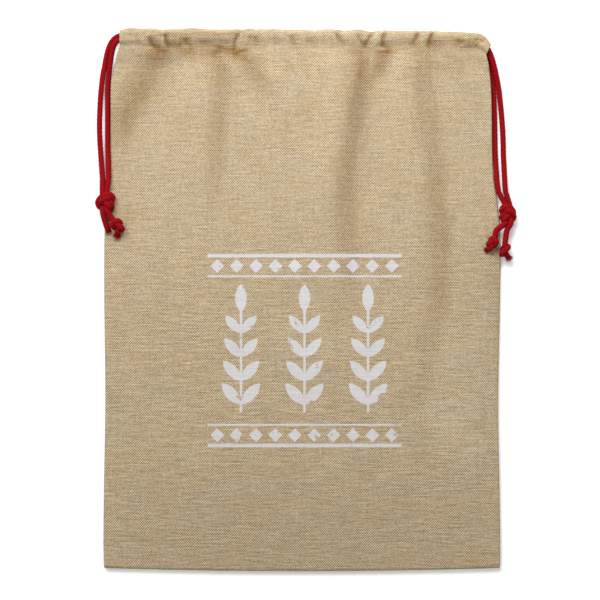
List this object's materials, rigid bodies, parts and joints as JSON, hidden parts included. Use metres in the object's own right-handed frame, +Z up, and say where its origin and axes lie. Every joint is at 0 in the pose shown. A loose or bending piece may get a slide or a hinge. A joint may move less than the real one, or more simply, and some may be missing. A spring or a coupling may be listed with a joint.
{
  "type": "burlap sack",
  "caption": "Large flat burlap sack with a stitched casing round its mouth and red drawcords, knotted together at each side.",
  "frame": {"origin": "on the ground, under the middle of the sack's cloth as it lies on its back", "axes": "+Y towards the mouth, +Z up and out of the front panel"},
  "size_m": [0.5291, 0.6852, 0.0278],
  "materials": {
    "burlap": "coarse plain weave, natural, matte",
    "red_cord": "round braid, soft, matte"
  },
  "bodies": {
    "root": {"front_panel": "burlap", "back_panel": "burlap", "left_cord_run": "red_cord", "right_cord_run": "red_cord", "left_inner_strand": "red_cord", "left_outer_strand": "red_cord", "right_inner_strand": "red_cord", "right_outer_strand": "red_cord", "left_long_tail": "red_cord", "left_short_tail": "red_cord", "right_inner_tail": "red_cord", "right_outer_tail": "red_cord", "left_knot": "red_cord", "left_end_knot": "red_cord", "right_knot": "red_cord", "right_inner_end_knot": "red_cord", "right_outer_end_knot": "red_cord"}
  },
  "joints": []
}
